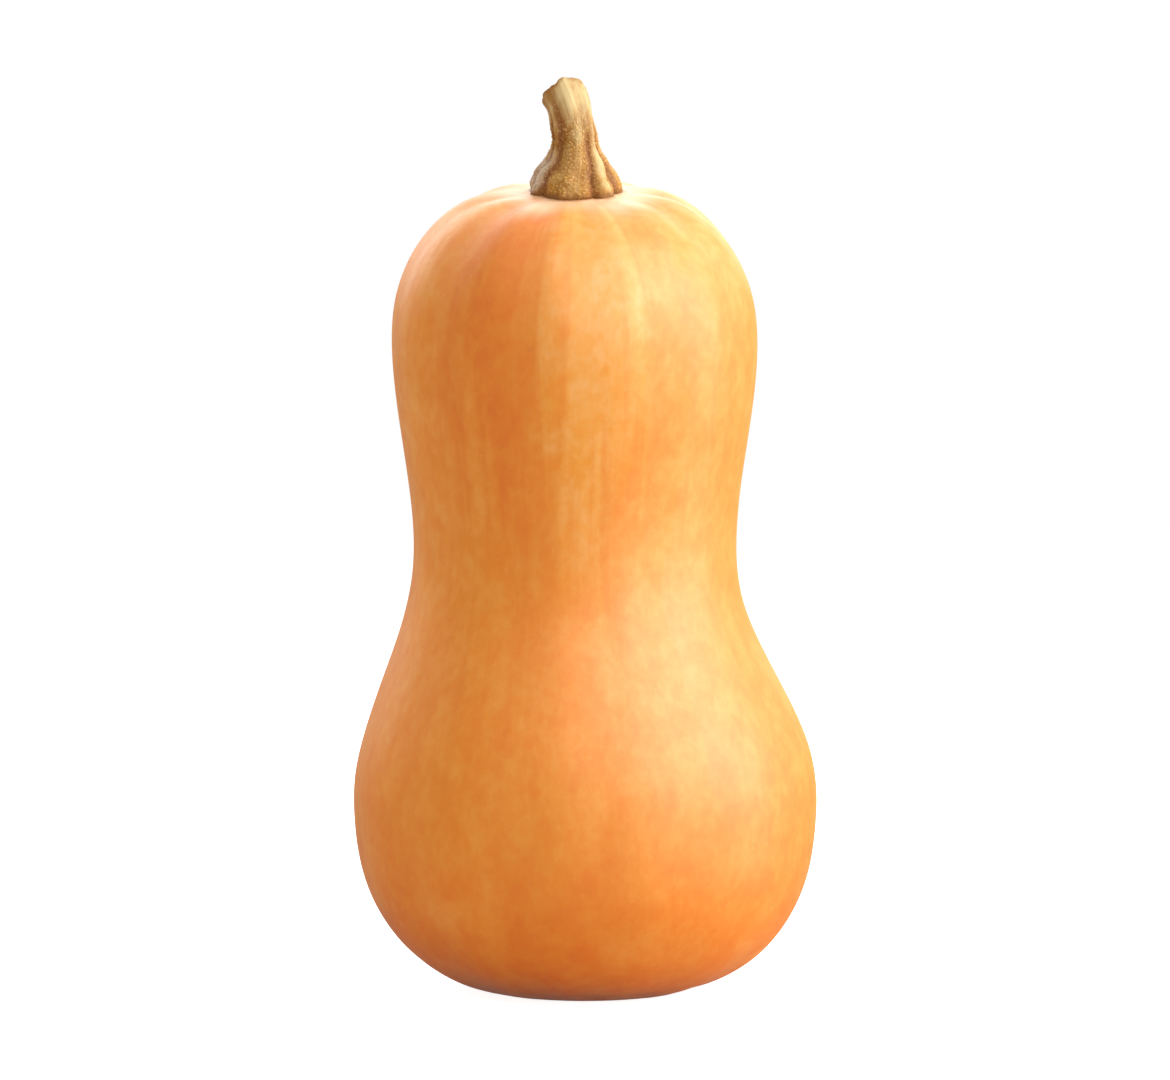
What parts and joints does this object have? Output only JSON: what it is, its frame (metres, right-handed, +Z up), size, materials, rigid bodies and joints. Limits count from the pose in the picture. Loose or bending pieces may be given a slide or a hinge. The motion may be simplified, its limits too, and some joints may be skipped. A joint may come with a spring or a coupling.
{
  "type": "butternut squash",
  "caption": "Butternut squash with a round bulb, a long solid neck and a grooved dry stem, standing on its blossom end.",
  "frame": {"origin": "on the surface that the squash stands on, under the middle of its bulb", "axes": "+Z up along the squash, from blossom end to stem; -Y is the front, the side that the picture shows; +X to the right of it"},
  "size_m": [0.1203, 0.1201, 0.2363],
  "materials": {
    "rind": "satin",
    "dry_stem": "matte"
  },
  "bodies": {
    "root": {"fruit": "rind", "stem": "dry_stem"}
  },
  "joints": []
}
